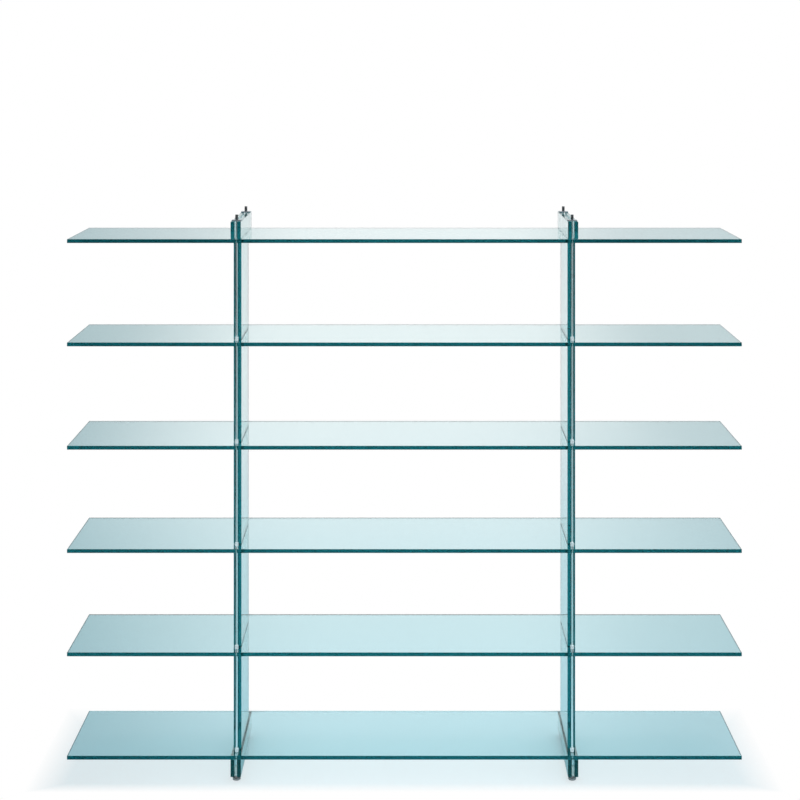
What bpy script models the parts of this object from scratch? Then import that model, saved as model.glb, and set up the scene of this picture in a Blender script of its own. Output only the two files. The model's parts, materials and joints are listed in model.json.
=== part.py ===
"""Glass bookcase: six long shelves on two uprights of stacked glass panes, tied by steel rods.

Each upright has a foot, five bays and a cap. The foot and the cap are pairs of panes with a slot
between them, and each bay is a pair laid face to face. A front and a rear tie rod run through the
slots and through every shelf, and clamp the stack between foot brackets and top plates.

Frame: metres, +Z up, X along the shelves, -Y to the front. The origin is on the floor, in the middle.
"""
import math

import bpy
import bmesh

# Glass
SHELF_LENGTH = 2.100
SHELF_DEPTH = 0.350
GLASS_THICKNESS = 0.012
ARRIS = 0.0008
SHELF_COUNT = 6
CLEAR_HEIGHT = 0.3095
FOOT_HEIGHT = 0.054
CAP_HEIGHT = 0.054

# Half the length of the stretch round each upright that is drilled, a seam away from the plain ones
DRILLED_REACH = 0.035

# Uprights and the rods in them
UPRIGHT_SPACING = 1.050
ROD_INSET = 0.030
ROD_DIAMETER = 0.006
ROD_SIDE_CLEARANCE = 0.001
ROD_HOLE_CLEARANCE = 0.001
ROD_END_CHAMFER = 0.0006
SPIGOT_DIAMETER = 0.005
SPIGOT_LENGTH = 0.010
PANE_TO_NUT = 0.0205

# Sleeve nuts on the rods
NUT_DIAMETER = 0.011
NUT_HEIGHT = 0.013
NUT_CHAMFER = 0.0008

# Top plates and cap nuts
PLATE_THICKNESS = 0.003
PLATE_DEPTH = 0.024
PLATE_SIDE_INSET = 0.001
PLATE_CHAMFER = 0.0004
CAP_NUT_DIAMETER = 0.009
CAP_NUT_HEIGHT = 0.016
CAP_NUT_END = 0.003
CAP_NUT_CHAMFER = 0.0006

# Foot brackets and levelling glides
FLANGE_THICKNESS = 0.003
FLANGE_DEPTH = 0.024
GLIDE_DIAMETER = 0.025
GLIDE_THICKNESS = 0.006
GLIDE_CHAMFER = 0.001
NECK_DIAMETER = 0.011
NECK_HEIGHT = 0.010
STUD_DIAMETER = 0.005
STUD_LENGTH = 0.018

# Gap left where two pieces touch, and how far a cutter runs past what it cuts
SEAT_GAP = 0.0003
CUT_OVERRUN = 0.002

# Points nearer than this are one point
MERGE_DISTANCE = 0.000003

# Facets round a turned piece
ROD_SIDES = 12
TURNED_SIDES = 24
SMOOTH_ANGLE_DEG = 35

# Places worked out from the sizes above
FLANGE_BOTTOM = GLIDE_THICKNESS + NECK_HEIGHT + SEAT_GAP
FOOT_BOTTOM = FLANGE_BOTTOM + FLANGE_THICKNESS + SEAT_GAP
SHELF_BOTTOM = FOOT_BOTTOM + FOOT_HEIGHT + SEAT_GAP
SHELF_PITCH = GLASS_THICKNESS + CLEAR_HEIGHT
TOP_SHELF_TOP = SHELF_BOTTOM + (SHELF_COUNT - 1) * SHELF_PITCH + GLASS_THICKNESS
CAP_BOTTOM = TOP_SHELF_TOP + SEAT_GAP
CAP_TOP = CAP_BOTTOM + CAP_HEIGHT
PLATE_BOTTOM = CAP_TOP + SEAT_GAP
CAP_NUT_BOTTOM = PLATE_BOTTOM + PLATE_THICKNESS + SEAT_GAP
SLOT_WIDTH = ROD_DIAMETER + 2 * ROD_SIDE_CLEARANCE
PAIR_WIDTH = 2 * GLASS_THICKNESS + SLOT_WIDTH
ROD_Y = SHELF_DEPTH / 2 - ROD_INSET
BAY_PANE_DEPTH = 2 * (ROD_Y - NUT_DIAMETER / 2 - PANE_TO_NUT)
BRACKET_HEIGHT = STUD_LENGTH + SEAT_GAP + SPIGOT_LENGTH
ROD_SHOULDER = FLANGE_BOTTOM + BRACKET_HEIGHT + SEAT_GAP
ROD_TOP = CAP_NUT_BOTTOM + CAP_NUT_HEIGHT - CAP_NUT_END - SEAT_GAP

# Which way each upright, each rod and each pane of a pair lies from the middle
UPRIGHTS = {"left": -1, "right": 1}
ENDS = {"front": -1, "rear": 1}
PAIR = {"outer": 1, "inner": -1}


def clear_scene():
    """Remove every object, so that the model starts from nothing."""
    for item in list(bpy.data.objects):
        bpy.data.objects.remove(item)


def material(name, colour, roughness, metallic, transmission):
    """One Principled finish."""
    finish = bpy.data.materials.new(name)
    finish.use_nodes = True
    shader = finish.node_tree.nodes["Principled BSDF"]
    shader.inputs["Base Color"].default_value = (*colour, 1.0)
    shader.inputs["Roughness"].default_value = roughness
    shader.inputs["Metallic"].default_value = metallic
    shader.inputs["Transmission Weight"].default_value = transmission
    return finish


def finishes():
    """The finishes, by the kind of piece that has them."""
    return {
        "shelf": material("shelf_glass", (0.72, 0.89, 0.88), 0.02, 0.0, 0.9),
        "pane": material("pane_glass", (0.60, 0.85, 0.85), 0.02, 0.0, 0.9),
        "rod": material("rod_steel", (0.70, 0.72, 0.74), 0.15, 1.0, 0.0),
        "plate": material("plate_steel", (0.62, 0.64, 0.66), 0.22, 1.0, 0.0),
        "cap_nut": material("cap_nut_steel", (0.55, 0.57, 0.59), 0.18, 1.0, 0.0),
        "bracket": material("bracket_steel", (0.50, 0.52, 0.54), 0.30, 1.0, 0.0),
        "glide": material("glide_steel", (0.42, 0.43, 0.45), 0.35, 1.0, 0.0),
    }


def empty(name, place, parent=None):
    """A point that pieces hang from."""
    item = bpy.data.objects.new(name, None)
    bpy.context.collection.objects.link(item)
    item.location = place
    item.parent = parent
    return item


def place_mesh(name, shape, finish, place, parent):
    """Turn a bmesh into a named object at its place."""
    mesh = bpy.data.meshes.new(name)
    shape.to_mesh(mesh)
    shape.free()
    if finish is not None:
        mesh.materials.append(finish)
    item = bpy.data.objects.new(name, mesh)
    bpy.context.collection.objects.link(item)
    item.location = place
    item.parent = parent
    return item


def box_shape(length, depth, height):
    """A box that stands on its origin, centred in X and Y."""
    shape = bmesh.new()
    bmesh.ops.create_cube(shape, size=1.0)
    bmesh.ops.scale(shape, vec=(length, depth, height), verts=shape.verts)
    bmesh.ops.translate(shape, vec=(0, 0, height / 2), verts=shape.verts)
    return shape


def shelf_shape():
    """A shelf with a seam on either side of each upright, so that its plain stretches stay whole faces."""
    shape = box_shape(SHELF_LENGTH, SHELF_DEPTH, GLASS_THICKNESS)
    for side in UPRIGHTS.values():
        for end in ENDS.values():
            seam = side * UPRIGHT_SPACING / 2 + end * DRILLED_REACH
            bmesh.ops.bisect_plane(shape, geom=[*shape.verts, *shape.edges, *shape.faces],
                                   plane_co=(seam, 0, 0), plane_no=(1, 0, 0))
    return shape


def bevel_edges(item, width):
    """Break every sharp edge by a flat of this width."""
    edge = item.modifiers.new("arris", "BEVEL")
    edge.width = width
    edge.segments = 1
    edge.limit_method = "ANGLE"
    edge.angle_limit = math.radians(SMOOTH_ANGLE_DEG)


def cut(item, cutter):
    """Take the cutter's shape out of a piece."""
    hole = item.modifiers.new("holes", "BOOLEAN")
    hole.operation = "DIFFERENCE"
    hole.solver = "EXACT"
    hole.object = cutter


def turned_shape(profile, sides):
    """Spin a profile of (radius, height) points round Z. It starts and ends on the axis."""
    shape = bmesh.new()
    points = [shape.verts.new((radius, 0, height)) for radius, height in profile]
    edges = [shape.edges.new(pair) for pair in zip(points, points[1:])]
    bmesh.ops.spin(shape, geom=points + edges, axis=(0, 0, 1), cent=(0, 0, 0),
                   angle=2 * math.pi, steps=sides, use_merge=True)
    bmesh.ops.remove_doubles(shape, verts=shape.verts, dist=MERGE_DISTANCE)
    bmesh.ops.recalc_face_normals(shape, faces=shape.faces)
    return shape


def turned(name, profile, sides, finish, place, parent):
    """A turned piece, smooth round its axis and crisp at its corners."""
    item = place_mesh(name, turned_shape(profile, sides), finish, place, parent)
    item.data.shade_smooth()
    item.data.set_sharp_from_angle(angle=math.radians(SMOOTH_ANGLE_DEG))
    return item


def drill(name, centres, diameter, bottom, top, sides):
    """A hidden cutter: one upright cylinder at each centre."""
    shape = bmesh.new()
    for x, y in centres:
        made = bmesh.ops.create_cone(shape, cap_ends=True, segments=sides, radius1=diameter / 2,
                                     radius2=diameter / 2, depth=top - bottom)
        bmesh.ops.translate(shape, vec=(x, y, (top + bottom) / 2), verts=made["verts"])
    cutter = place_mesh(name, shape, None, (0, 0, 0), None)
    cutter.hide_render = True
    cutter.display_type = "WIRE"
    return cutter


def rod_centres():
    """Where the four rods stand, in plan."""
    return [(side * UPRIGHT_SPACING / 2, end * ROD_Y) for side in UPRIGHTS.values()
            for end in ENDS.values()]


def shelf_floor(number):
    """The underside of a shelf, counted from 1 at the bottom."""
    return SHELF_BOTTOM + (number - 1) * SHELF_PITCH


def add_shelves(finish, root):
    """Six full-length shelves, each drilled for the rods."""
    rod_drill = drill("rod_drill", rod_centres(), ROD_DIAMETER + 2 * ROD_HOLE_CLEARANCE,
                      SHELF_BOTTOM - CUT_OVERRUN, TOP_SHELF_TOP + CUT_OVERRUN, TURNED_SIDES)
    for number in range(1, SHELF_COUNT + 1):
        shelf = place_mesh(f"shelf_{number}", shelf_shape(), finish,
                           (0, 0, shelf_floor(number)), root)
        bevel_edges(shelf, ARRIS)
        cut(shelf, rod_drill)


def add_pane(name, offset, depth, bottom, height, finish, upright):
    """One pane of an upright, its middle at an offset from the upright's centre plane."""
    pane = place_mesh(name, box_shape(GLASS_THICKNESS, depth, height), finish,
                      (offset, 0, bottom), upright)
    bevel_edges(pane, ARRIS)


def add_pair(name, outward, gap, depth, bottom, height, finish, upright):
    """An outer and an inner pane, with a gap between their faces."""
    for which, way in PAIR.items():
        offset = outward * way * (gap + GLASS_THICKNESS) / 2
        add_pane(f"{name}_{which}", offset, depth, bottom, height, finish, upright)


def add_upright_glass(side, outward, finish, upright):
    """Foot pair, a face-to-face pair in each bay, and cap pair."""
    add_pair(f"foot_pane_{side}", outward, SLOT_WIDTH, SHELF_DEPTH, FOOT_BOTTOM, FOOT_HEIGHT,
             finish, upright)
    add_pair(f"cap_pane_{side}", outward, SLOT_WIDTH, SHELF_DEPTH, CAP_BOTTOM, CAP_HEIGHT,
             finish, upright)
    for bay in range(1, SHELF_COUNT):
        bottom = shelf_floor(bay) + GLASS_THICKNESS + SEAT_GAP
        add_pair(f"bay_{bay}_pane_{side}", outward, SEAT_GAP, BAY_PANE_DEPTH, bottom,
                 CLEAR_HEIGHT - 2 * SEAT_GAP, finish, upright)


def rod_profile():
    """Spigot, shoulder, a sleeve nut on each lower shelf, and a chamfered top end."""
    rod = ROD_DIAMETER / 2
    nut = NUT_DIAMETER / 2
    spigot = SPIGOT_DIAMETER / 2
    profile = [(0, ROD_SHOULDER - SPIGOT_LENGTH), (spigot, ROD_SHOULDER - SPIGOT_LENGTH),
               (spigot, ROD_SHOULDER), (rod, ROD_SHOULDER)]
    for number in range(1, SHELF_COUNT):
        bottom = shelf_floor(number) + GLASS_THICKNESS + SEAT_GAP
        top = bottom + NUT_HEIGHT
        profile += [(rod, bottom), (nut - NUT_CHAMFER, bottom), (nut, bottom + NUT_CHAMFER),
                    (nut, top - NUT_CHAMFER), (nut - NUT_CHAMFER, top), (rod, top)]
    profile += [(rod, ROD_TOP - ROD_END_CHAMFER), (rod - ROD_END_CHAMFER, ROD_TOP), (0, ROD_TOP)]
    return profile


def add_rod(spot, y, finish, upright):
    """A tie rod with its sleeve nuts, from the foot bracket to the cap nut."""
    turned(f"tie_rod_{spot}", rod_profile(), ROD_SIDES, finish, (0, y, 0), upright)


def add_top_plate(spot, x, y, finish, upright):
    """A plate across the cap panes, drilled for its rod."""
    width = PAIR_WIDTH - 2 * PLATE_SIDE_INSET
    plate = place_mesh(f"top_plate_{spot}", box_shape(width, PLATE_DEPTH, PLATE_THICKNESS),
                       finish, (0, y, PLATE_BOTTOM), upright)
    bevel_edges(plate, PLATE_CHAMFER)
    cut(plate, drill(f"top_plate_drill_{spot}", [(x, y)], ROD_DIAMETER + 2 * SEAT_GAP,
                     PLATE_BOTTOM - CUT_OVERRUN, CAP_NUT_BOTTOM + CUT_OVERRUN, TURNED_SIDES))


def add_cap_nut(spot, y, finish, upright):
    """A round cap nut with a blind bore over the rod's top end."""
    outer = CAP_NUT_DIAMETER / 2
    bore = ROD_DIAMETER / 2 + SEAT_GAP
    bore_top = CAP_NUT_HEIGHT - CAP_NUT_END
    profile = [(0, bore_top), (bore, bore_top), (bore, 0), (outer, 0),
               (outer, CAP_NUT_HEIGHT - CAP_NUT_CHAMFER),
               (outer - CAP_NUT_CHAMFER, CAP_NUT_HEIGHT), (0, CAP_NUT_HEIGHT)]
    turned(f"cap_nut_{spot}", profile, TURNED_SIDES, finish, (0, y, CAP_NUT_BOTTOM), upright)


def bracket_shape():
    """A flange under the foot panes with a web up their slot, drawn out along Y."""
    flange = PAIR_WIDTH / 2 - PLATE_SIDE_INSET
    web = SLOT_WIDTH / 2 - SEAT_GAP
    outline = [(-flange, 0), (flange, 0), (flange, FLANGE_THICKNESS), (web, FLANGE_THICKNESS),
               (web, BRACKET_HEIGHT), (-web, BRACKET_HEIGHT), (-web, FLANGE_THICKNESS),
               (-flange, FLANGE_THICKNESS)]
    shape = bmesh.new()
    face = shape.faces.new([shape.verts.new((x, -FLANGE_DEPTH / 2, z)) for x, z in outline])
    drawn = bmesh.ops.extrude_face_region(shape, geom=[face])
    moved = [part for part in drawn["geom"] if isinstance(part, bmesh.types.BMVert)]
    bmesh.ops.translate(shape, vec=(0, FLANGE_DEPTH, 0), verts=moved)
    bmesh.ops.recalc_face_normals(shape, faces=shape.faces)
    return shape


def add_foot_bracket(spot, x, y, finish, upright):
    """The bracket that carries the foot panes and joins rod and glide."""
    bracket = place_mesh(f"foot_bracket_{spot}", bracket_shape(), finish,
                         (0, y, FLANGE_BOTTOM), upright)
    bore = max(SPIGOT_DIAMETER, STUD_DIAMETER) + 2 * SEAT_GAP
    cut(bracket, drill(f"foot_bracket_drill_{spot}", [(x, y)], bore, FLANGE_BOTTOM - CUT_OVERRUN,
                       FLANGE_BOTTOM + BRACKET_HEIGHT + CUT_OVERRUN, TURNED_SIDES))


def add_glide(spot, y, finish, upright):
    """A round glide with a neck and a stud. Its origin is on its axis, on the floor."""
    disc = GLIDE_DIAMETER / 2
    neck = NECK_DIAMETER / 2
    neck_top = GLIDE_THICKNESS + NECK_HEIGHT
    stud = STUD_DIAMETER / 2
    stud_top = FLANGE_BOTTOM + STUD_LENGTH
    profile = [(0, 0), (disc - GLIDE_CHAMFER, 0), (disc, GLIDE_CHAMFER),
               (disc, GLIDE_THICKNESS - GLIDE_CHAMFER), (disc - GLIDE_CHAMFER, GLIDE_THICKNESS),
               (neck, GLIDE_THICKNESS), (neck, neck_top), (stud, neck_top), (stud, stud_top),
               (0, stud_top)]
    turned(f"levelling_glide_{spot}", profile, TURNED_SIDES, finish, (0, y, 0), upright)


def add_upright(side, outward, finish, root):
    """One whole upright: its glass, and the steel at its front and rear rod."""
    x = outward * UPRIGHT_SPACING / 2
    upright = empty(f"upright_{side}", (x, 0, 0), root)
    add_upright_glass(side, outward, finish["pane"], upright)
    for end, way in ENDS.items():
        spot = f"{side}_{end}"
        y = way * ROD_Y
        add_rod(spot, y, finish["rod"], upright)
        add_top_plate(spot, x, y, finish["plate"], upright)
        add_cap_nut(spot, y, finish["cap_nut"], upright)
        add_foot_bracket(spot, x, y, finish["bracket"], upright)
        add_glide(spot, y, finish["glide"], upright)


def main():
    """Build the whole bookcase."""
    clear_scene()
    finish = finishes()
    root = empty("bookcase", (0, 0, 0))
    add_shelves(finish["shelf"], root)
    for side, outward in UPRIGHTS.items():
        add_upright(side, outward, finish, root)


main()
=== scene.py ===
"""Finishes the glass bookcase: float glass with green edges, drawn steel, and a white studio."""
import json
import math
from itertools import pairwise
from typing import NamedTuple

import bpy
import bmesh
from bpy.props import FloatProperty, FloatVectorProperty, IntProperty, PointerProperty
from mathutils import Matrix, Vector

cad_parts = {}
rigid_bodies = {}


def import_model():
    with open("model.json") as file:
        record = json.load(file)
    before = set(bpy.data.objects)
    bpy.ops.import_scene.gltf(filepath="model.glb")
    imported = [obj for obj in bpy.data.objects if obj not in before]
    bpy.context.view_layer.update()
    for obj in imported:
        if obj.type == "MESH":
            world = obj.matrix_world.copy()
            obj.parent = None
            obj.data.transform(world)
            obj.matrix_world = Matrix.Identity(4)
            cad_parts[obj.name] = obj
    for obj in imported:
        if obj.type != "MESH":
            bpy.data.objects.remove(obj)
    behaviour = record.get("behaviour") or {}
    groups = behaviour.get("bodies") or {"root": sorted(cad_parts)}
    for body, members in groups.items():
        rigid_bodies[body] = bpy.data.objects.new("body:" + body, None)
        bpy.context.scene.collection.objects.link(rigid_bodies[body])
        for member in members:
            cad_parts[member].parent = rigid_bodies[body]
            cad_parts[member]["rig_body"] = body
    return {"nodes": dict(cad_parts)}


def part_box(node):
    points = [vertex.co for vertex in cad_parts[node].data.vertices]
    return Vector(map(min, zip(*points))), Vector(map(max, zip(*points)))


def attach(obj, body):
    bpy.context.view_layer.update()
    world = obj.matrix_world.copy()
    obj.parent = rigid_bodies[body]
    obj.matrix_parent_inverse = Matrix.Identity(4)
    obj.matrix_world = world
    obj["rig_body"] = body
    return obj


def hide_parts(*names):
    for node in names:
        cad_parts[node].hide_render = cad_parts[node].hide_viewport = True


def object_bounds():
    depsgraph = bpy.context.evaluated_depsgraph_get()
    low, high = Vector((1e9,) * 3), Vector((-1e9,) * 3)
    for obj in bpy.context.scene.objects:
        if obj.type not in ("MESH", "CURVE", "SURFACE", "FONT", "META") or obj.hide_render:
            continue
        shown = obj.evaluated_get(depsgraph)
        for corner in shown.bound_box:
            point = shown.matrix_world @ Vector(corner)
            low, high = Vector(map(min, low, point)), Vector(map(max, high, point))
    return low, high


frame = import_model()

bl_info = {
    "name": "Glass Bookcase",
    "version": (1, 0, 0),
    "blender": (4, 5, 0),
    "location": "3D View > Sidebar > Bookcase",
    "description": "Finishes for a bookcase of glass shelves and panes on steel tie rods",
    "category": "Object",
}

NODES = frame["nodes"]
LOW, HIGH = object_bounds()
SPOTS = [f"{side}_{end}" for side in ("left", "right") for end in ("front", "rear")]


# Node trees written as sums

# Several sockets of the Mix node share a name, so those for colours go by their numbers
MIX_FACTOR, MIX_FIRST, MIX_SECOND, MIX_RESULT = 0, 6, 7, 2
# How alike the true and the rounded normal are on a flat face, and on a sharp edge
FLAT_LIKENESS = 0.98
SHARP_LIKENESS = 0.80


class Wire:
    """A socket in a node tree that takes part in sums and comparisons."""

    def __init__(self, graph, socket):
        self.graph = graph
        self.socket = socket

    def maths(self, operation, *terms):
        """A Math node on these terms."""
        return self.graph.add("ShaderNodeMath", {"operation": operation}, terms)

    def larger(self, other):
        """The larger of this and another value."""
        return self.maths("MAXIMUM", self, other)

    def __add__(self, other):
        return self.maths("ADD", self, other)

    __radd__ = __add__

    def __sub__(self, other):
        return self.maths("SUBTRACT", self, other)

    def __rsub__(self, other):
        return self.maths("SUBTRACT", other, self)

    def __mul__(self, other):
        return self.maths("MULTIPLY", self, other)

    __rmul__ = __mul__

    def __truediv__(self, other):
        return self.maths("DIVIDE", self, other)

    def __gt__(self, other):
        return self.maths("GREATER_THAN", self, other)

    def __abs__(self):
        return self.maths("ABSOLUTE", self)


class Graph:
    """The node tree of a material, the world or a Geometry Nodes group."""

    def __init__(self, tree):
        self.tree = tree
        tree.nodes.clear()

    def add(self, kind, settings=None, inputs=(), output=0):
        """Add a node: its settings first, then its sockets' values or links. Gives one output."""
        node = self.tree.nodes.new(kind)
        for name, value in (settings or {}).items():
            if name == "stops":
                self.set_stops(node.color_ramp, value)
            else:
                setattr(node, name, value)
        pairs = inputs.items() if isinstance(inputs, dict) else enumerate(inputs)
        for name, value in pairs:
            if isinstance(value, Wire):
                self.tree.links.new(value.socket, node.inputs[name])
            elif isinstance(value, list) and isinstance(value[0], Wire):
                for wire in value:
                    self.tree.links.new(wire.socket, node.inputs[name])
            elif value is not None:
                node.inputs[name].default_value = value
        return Wire(self, node.outputs[output]) if node.outputs else None

    @staticmethod
    def set_stops(ramp, stops):
        """Give a colour ramp its (place, shade) stops."""
        while len(ramp.elements) < len(stops):
            ramp.elements.new(1.0)
        for element, (place, shade) in zip(ramp.elements, stops):
            element.position = place
            element.color = shade

    def parts(self, vector):
        """The X, Y and Z of a vector."""
        first = self.add("ShaderNodeSeparateXYZ", None, [vector])
        return [Wire(self, socket) for socket in first.socket.node.outputs]

    def place(self):
        """Where a point of the piece lies, in metres."""
        return self.add("ShaderNodeTexCoord", None, (), "Object")

    def facing(self):
        """Which way the surface faces."""
        return self.add("ShaderNodeNewGeometry", None, (), "Normal")

    def inside(self):
        """1 where the ray meets the surface from behind, and 0 elsewhere."""
        return self.add("ShaderNodeNewGeometry", None, (), "Backfacing")

    def stretched(self, scale):
        """The piece's own coordinates, stretched along each axis."""
        return self.add("ShaderNodeMapping", None, {"Vector": self.place(), "Scale": scale})

    def noise(self, scale, detail, where=None):
        """Cloudy noise from 0 to 1."""
        return self.add("ShaderNodeTexNoise", None,
                        {"Vector": where or self.place(), "Scale": scale, "Detail": detail})

    def ramp(self, value, low, high, to_low=0.0, to_high=1.0):
        """Map the range from low to high onto another, and hold its ends beyond it."""
        return self.add("ShaderNodeMapRange", {"clamp": True}, [value, low, high, to_low, to_high])

    def smooth(self, value, low, high):
        """Rise gently from 0 to 1 between two values."""
        settings = {"clamp": True, "interpolation_type": "SMOOTHSTEP"}
        return self.add("ShaderNodeMapRange", settings, [value, low, high, 0.0, 1.0])

    def blend(self, factor, first, second, how="MIX"):
        """Mix two colours."""
        return self.add("ShaderNodeMix", {"data_type": "RGBA", "blend_type": how},
                        {MIX_FACTOR: factor, MIX_FIRST: first, MIX_SECOND: second}, MIX_RESULT)

    def dyed(self, factor, base, dye):
        """Multiply a colour by another, as far as the factor says."""
        return self.blend(factor, base, dye, "MULTIPLY")

    def bump(self, height, distance):
        """The surface's normal on bumps of this height and depth."""
        return self.add("ShaderNodeBump", None,
                        {"Height": height, "Distance": distance, "Strength": 1.0})

    def worn(self, width):
        """1 on sharp edges, where handling polishes metal, and 0 on flat faces."""
        rounded = self.add("ShaderNodeBevel", {"samples": 4}, [width])
        alike = self.add("ShaderNodeVectorMath", {"operation": "DOT_PRODUCT"},
                         [rounded, self.facing()], "Value")
        return self.ramp(alike, FLAT_LIKENESS, SHARP_LIKENESS)

    def light_path(self, kind):
        """What a Light Path node tells of the ray: its kind, or how often it has turned."""
        return self.add("ShaderNodeLightPath", None, (), kind)

    def mirrored(self):
        """1 once the ray has been mirrored, and 0 before."""
        return self.light_path("Glossy Depth") > 0.5

    def crossed(self):
        """1 once the ray has gone through glass, and 0 before."""
        return self.light_path("Transmission Depth") > 0.5

    def principled(self, inputs):
        """A Principled shader."""
        return self.add("ShaderNodeBsdfPrincipled", None, inputs)

    def layered(self, factor, under, over):
        """One shader over another, as far as the factor says."""
        return self.add("ShaderNodeMixShader", None, [factor, under, over])

    def output(self, surface, volume=None):
        """Give the material its surface, and what fills it."""
        self.add("ShaderNodeOutputMaterial", None, {"Surface": surface, "Volume": volume})


def new_material(name):
    """A material with an empty tree."""
    material = bpy.data.materials.new(name)
    material.use_nodes = True
    return material, Graph(material.node_tree)


def opaque(shade):
    """A colour with full alpha."""
    return (*shade, 1.0)


# Settings

def length(name, description, default, least=0.0):
    """A length that a user can set."""
    return FloatProperty(name=name, description=description, subtype="DISTANCE", unit="LENGTH",
                         min=least, precision=4, default=default)


def colour(name, description, default):
    """A colour that a user can set."""
    return FloatVectorProperty(name=name, description=description, subtype="COLOR", size=3,
                               min=0.0, max=1.0, default=default)


def share(name, description, default):
    """A share from 0 to 1 that a user can set."""
    return FloatProperty(name=name, description=description, subtype="FACTOR",
                         min=0.0, max=1.0, default=default)


def number(name, description, default, least=0.0, most=100.0):
    """A plain number that a user can set."""
    return FloatProperty(name=name, description=description, min=least, max=most,
                         default=default)


def count(name, description, default):
    """A whole number that a user can set."""
    return IntProperty(name=name, description=description, min=3, default=default)


class GlassSettings(bpy.types.PropertyGroup):
    """What the glass takes from the light, and how its edges are worked."""

    tint: colour("Tint", "Colour that the glass keeps of light that crosses it",
                 (0.0, 0.594, 0.631))
    shelf_density: number("Shelf density", "How fast the shelves take up light, per metre", 16.5)
    pane_density: number("Pane density",
                         "How fast the bay and foot panes take up light, per metre", 20.0)
    cap_density: number("Cap density", "How fast the cap panes take up light, per metre", 14.0)
    bending: number("Bending", "Index of refraction", 1.52, least=1.0, most=2.0)
    edge_roughness: share("Edge roughness", "Roughness of the ground and polished edges", 0.05)
    edge_haze: share("Edge haze", "Share of light that the ground and polished edges scatter",
                     0.02)
    haze_colour: colour("Haze colour", "Colour of the light that the edges scatter",
                        (0.05, 0.65, 0.62))
    edge_shine: colour("Edge shine", "Colour of the light that the edges mirror",
                       (0.2, 0.95, 1.0))


class RodSettings(bpy.types.PropertyGroup):
    """The tie rods and the sleeve nuts on them."""

    diameter: length("Rod diameter", "Thickness of the tie rods", 0.006)
    spigot_diameter: length("Spigot diameter", "Thickness of a rod's lower end", 0.005)
    spigot_length: length("Spigot length", "How far a rod's lower end is turned down", 0.010)
    pitch: length("Thread pitch", "From one turn of the thread to the next", 0.001)
    thread_depth: length("Thread depth", "How deep the thread is cut", 0.00025)
    thread_reach: length("Thread reach", "How far the thread shows above a sleeve nut", 0.006)
    nut_height: length("Nut height", "Height of a sleeve nut", 0.013)
    nut_collar: length("Nut collar", "Plain rim above and below a sleeve nut's knurl", 0.0024)
    nut_chamfer: length("Nut chamfer", "Bevel of a sleeve nut's edges", 0.0008)
    knurl_depth: length("Knurl depth", "How far the knurl's ridges stand out", 0.00025)
    knurl_ridges: count("Knurl ridges", "Ridges round a sleeve nut", 40)


class CapSettings(bpy.types.PropertyGroup):
    """The plates on the cap panes and the nuts on them."""

    plate_corner: length("Plate corner", "Corner radius of a top plate", 0.0025)
    plate_bevel: length("Plate bevel", "Bevel of a top plate's edges", 0.0004)
    nut_collar: length("Cap nut collar", "Plain rim under a cap nut's knurl", 0.0030)
    nut_head: length("Cap nut head", "Plain head above a cap nut's knurl", 0.0045)
    groove: length("Groove", "Depth and half width of the grooves beside the knurl", 0.0004)
    dome: length("Cap nut rounding", "Radius of the edge round a cap nut's top", 0.0012)
    key: length("Key size", "Across the corners of the socket in a cap nut", 0.004)
    key_depth: length("Key depth", "Depth of the socket in a cap nut", 0.0025)
    knurl_depth: length("Cap knurl depth", "How far the knurl's ridges stand out", 0.00025)
    knurl_ridges: count("Cap knurl ridges", "Ridges round a cap nut", 32)


class FootSettings(bpy.types.PropertyGroup):
    """The brackets under the feet and the levelling glides in them."""

    flange_thickness: length("Flange thickness", "Thickness of a bracket's flange", 0.003)
    flange_corner: length("Flange corner", "Corner radius of a bracket's flange", 0.0025)
    web_corner: length("Web corner", "Corner radius of a bracket's web", 0.0008)
    bevel: length("Bracket bevel", "Bevel of a bracket's edges", 0.0004)
    fillet: length("Fillet", "Slope where a bracket's web meets its flange", 0.0005)
    pad_height: length("Pad height", "Thickness of the pad under a glide", 0.0013)
    disc_height: length("Disc height", "Height of a glide's disc, with its pad", 0.006)
    disc_bevel: length("Disc bevel", "Bevel of a glide's disc", 0.0008)
    neck_height: length("Neck height", "Height of a glide's six-sided neck", 0.010)
    neck_width: length("Neck width", "Across the corners of a glide's neck", 0.011)
    stud_diameter: length("Stud diameter", "Thickness of a glide's stud", 0.005)
    rib_depth: length("Rib depth", "How far the ribs stand out round a glide", 0.0003)
    ribs: count("Ribs", "Ribs round a glide", 48)


class SteelSettings(bpy.types.PropertyGroup):
    """The colours of the steel and of the pads under it."""

    # The rods' cyan cast is a painted reflection of the green glass beside them
    rod: colour("Rod steel", "Colour of the tie rods", (0.84, 0.94, 0.96))
    sleeve_nut: colour("Sleeve nut steel", "Colour of the sleeve nuts", (0.78, 0.88, 0.92))
    plate: colour("Plate steel", "Colour of the top plates", (0.38, 0.42, 0.47))
    cap_nut: colour("Cap nut steel", "Colour of the cap nuts", (0.12, 0.13, 0.14))
    bracket: colour("Bracket steel", "Colour of the brackets under the feet", (0.40, 0.50, 0.50))
    glide: colour("Glide steel", "Colour of the levelling glides", (0.30, 0.31, 0.32))
    pad: colour("Pad", "Colour of the pads under the glides", (0.50, 0.51, 0.52))


class StudioSettings(bpy.types.PropertyGroup):
    """The room round the bookcase, and where the camera stands in it."""

    # On the floor the side tint is painted shade; in the room it is light.
    side_tint: colour("Side tint", "Colour that the light falls off to, left and right",
                      (0.42, 0.53, 0.56))
    floor_whiteness: share("Floor whiteness", "How far the floor by the bookcase is washed out",
                           0.59)
    shadow_reach: length("Shadow reach", "How far from the bookcase the floor shows its shadow",
                         0.12)
    camera_distance: length("Camera distance", "From the camera to the front of the shelves",
                            5.035, least=0.1)


# Finishes

WHITE = (1.0, 1.0, 1.0, 1.0)
CLEAR_GLASS = (0.98, 0.99, 0.99, 1.0)
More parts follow.
